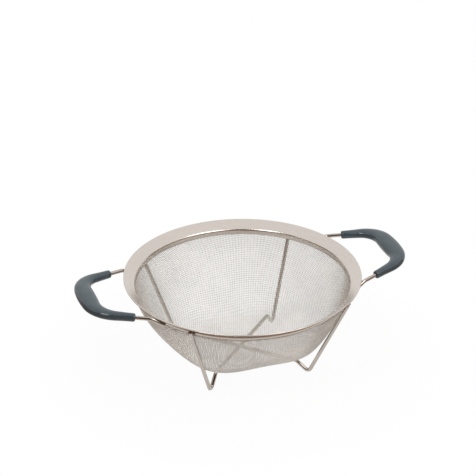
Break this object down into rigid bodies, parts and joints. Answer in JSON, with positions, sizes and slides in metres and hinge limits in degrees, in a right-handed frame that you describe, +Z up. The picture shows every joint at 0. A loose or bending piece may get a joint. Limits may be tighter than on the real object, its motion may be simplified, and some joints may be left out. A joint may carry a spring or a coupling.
{
  "type": "wire mesh colander",
  "caption": "Round wire-mesh colander with a wide sloping sheet rim, bent-wire legs under the bowl and wire side handles with moulded grips, for draining and rinsing food.",
  "frame": {"origin": "on the table, under the centre of the bowl, at the centre of the part's box in X and Y", "axes": "+X along the line through the handles, +Z up, +Y across them away from the picture's camera"},
  "size_m": [0.3418, 0.24, 0.1035],
  "materials": {
    "brushed_rim": "brushed stainless steel, warm grey",
    "woven_cloth": "woven stainless wire cloth",
    "drawn_wire": "bright drawn stainless wire",
    "slate_grip": "glossy moulded plastic, slate grey-blue"
  },
  "bodies": {
    "root": {"rim_flange": "brushed_rim", "mesh_clamp_ring": "brushed_rim", "mesh_bowl": "woven_cloth", "leg_wire_upper": "drawn_wire", "leg_wire_lower": "drawn_wire", "handle_wire_left": "drawn_wire", "handle_wire_right": "drawn_wire", "grip_left": "slate_grip", "grip_right": "slate_grip"}
  },
  "joints": []
}
